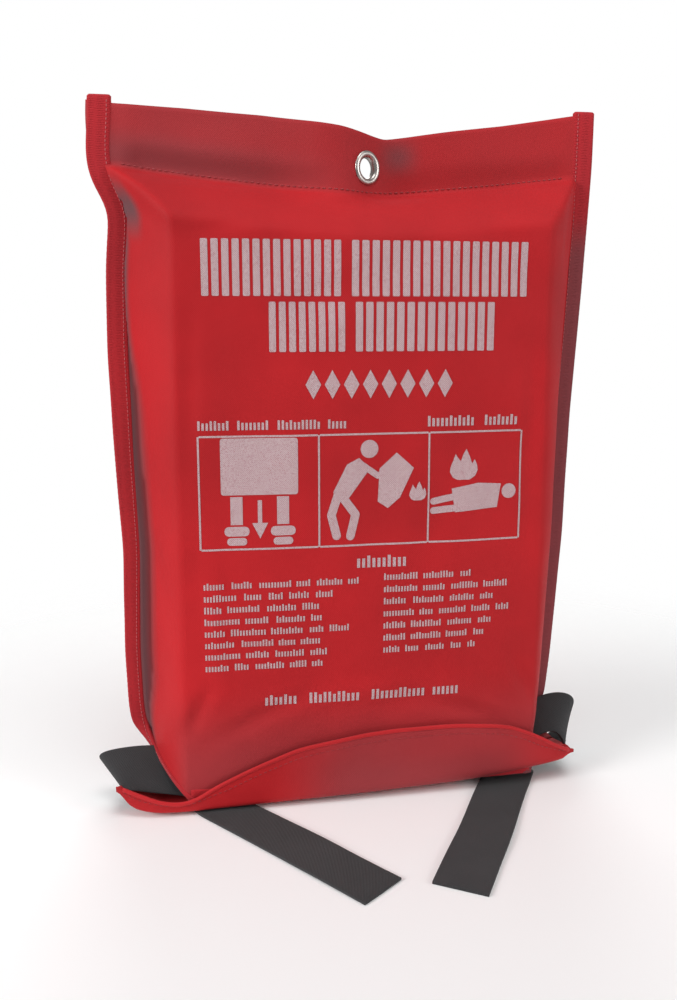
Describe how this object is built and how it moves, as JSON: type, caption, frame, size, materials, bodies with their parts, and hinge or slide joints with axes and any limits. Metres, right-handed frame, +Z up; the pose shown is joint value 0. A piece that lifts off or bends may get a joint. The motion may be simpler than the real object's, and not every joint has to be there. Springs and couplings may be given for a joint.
{
  "type": "fire blanket",
  "caption": "Folded fire blanket in a soft red hanging wallet, with a closing flap under the mouth, a hanging eyelet and two black pull tapes.",
  "frame": {"origin": "centre of the hanging eyelet, in the plane of the header", "axes": "+Z up the wallet, -Y its printed front, +X the viewer's right"},
  "size_m": [0.3019, 0.1529, 0.4065],
  "materials": {
    "red_cloth": "coated cloth, soft sheen",
    "red_binding": "folded tape",
    "thread": "polyester thread",
    "black_thread": "polyester thread",
    "nickel": "nickel plated",
    "loop_pile": "woven pile",
    "hook_pile": "moulded hooks",
    "glass_cloth": "woven glass fibre",
    "webbing": "woven webbing"
  },
  "bodies": {
    "wallet": {"back_panel": "red_cloth", "front_panel": "red_cloth", "left_side_binding": "red_binding", "right_side_binding": "red_binding", "left_seam_thread": "thread", "right_seam_thread": "thread", "header_seam_thread": "thread", "mouth_hem": "red_binding", "mouth_hem_thread": "thread", "eyelet_barrel": "nickel", "eyelet_washer": "nickel", "loop_strip": "loop_pile"},
    "flap": {"flap_base": "red_cloth"},
    "lip": {"flap_lip": "red_cloth", "lip_hem": "red_binding", "lip_strip_thread": "thread", "hook_strip": "hook_pile"},
    "blanket": {"folded_blanket": "glass_cloth", "left_tape_tuck": "webbing", "right_tape_tuck": "webbing", "left_tape_stitching": "black_thread", "right_tape_stitching": "black_thread"},
    "left_tape": {"left_pull_tape": "webbing"},
    "right_tape": {"right_pull_tape": "webbing"}
  },
  "joints": [
    {"name": "blanket_pull", "type": "slide", "parent": "wallet", "child": "blanket", "axis": [0, 0, -1], "range_m": [0, 0.3]},
    {"name": "flap_open", "type": "hinge", "parent": "wallet", "child": "flap", "pos_m": [0, 0.01545, -0.3665], "axis": [1, 0, 0], "range_deg": [0, 90.5], "deforming": ["flap_base"]},
    {"name": "lip_unfold", "type": "hinge", "parent": "flap", "child": "lip", "pos_m": [0, -0.0303, -0.3665], "axis": [1, 0, 0], "range_deg": [0, 90.5], "deforming": ["flap_lip", "lip_hem", "lip_strip_thread", "hook_strip"]},
    {"name": "left_tape_swing", "type": "hinge", "parent": "blanket", "child": "left_tape", "pos_m": [-0.075, -0.0435, -0.36925], "axis": [-0.8017, -0.5978, 0], "range_deg": [-90, 90]},
    {"name": "right_tape_swing", "type": "hinge", "parent": "blanket", "child": "right_tape", "pos_m": [0.075, -0.042, -0.36925], "axis": [-0.866, 0.5, 0], "range_deg": [-90, 90]}
  ],
  "couplings": [
    {"joint": "flap_open", "follows": "blanket_pull", "rad_per_m": 5.236},
    {"joint": "lip_unfold", "follows": "blanket_pull", "rad_per_m": 5.236}
  ]
}
